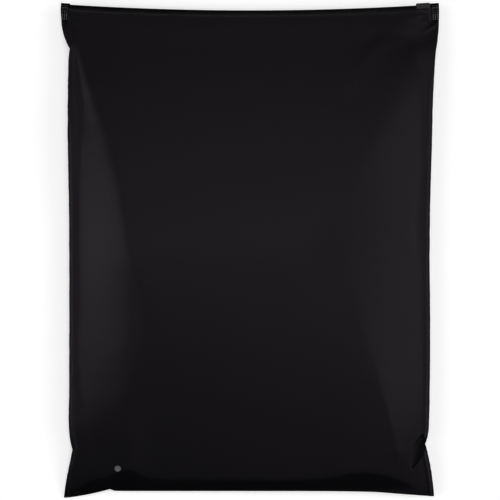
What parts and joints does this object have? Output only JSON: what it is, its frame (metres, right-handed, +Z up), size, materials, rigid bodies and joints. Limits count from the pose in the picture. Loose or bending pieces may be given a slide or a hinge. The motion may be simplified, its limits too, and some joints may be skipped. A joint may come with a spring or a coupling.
{
  "type": "resealable plastic bag",
  "caption": "Plump black film bag with welded side seams, flat corner ears, a punched vent and a slider zip along its top edge, for packing and resealing soft goods.",
  "frame": {"origin": "on the surface the bag lies on, under the middle of its outline", "axes": "+Z up, out of the front panel; +Y along the bag's height, towards the zip; +X across the width, towards the end where the slider closes the zip"},
  "size_m": [0.3, 0.3921, 0.04],
  "materials": {
    "film": "satin",
    "zip": "satin",
    "slider": "satin"
  },
  "bodies": {
    "bag": {"pouch": "film", "front_zip_strip": "zip", "rear_zip_strip": "zip"},
    "slider": {"slider": "slider"}
  },
  "joints": [
    {"name": "slider_travel", "type": "hinge", "parent": "bag", "child": "slider", "pos_m": [0, 2.4385, 0.011], "axis": [0, 0, 1], "range_deg": [-6.98, 0]}
  ]
}
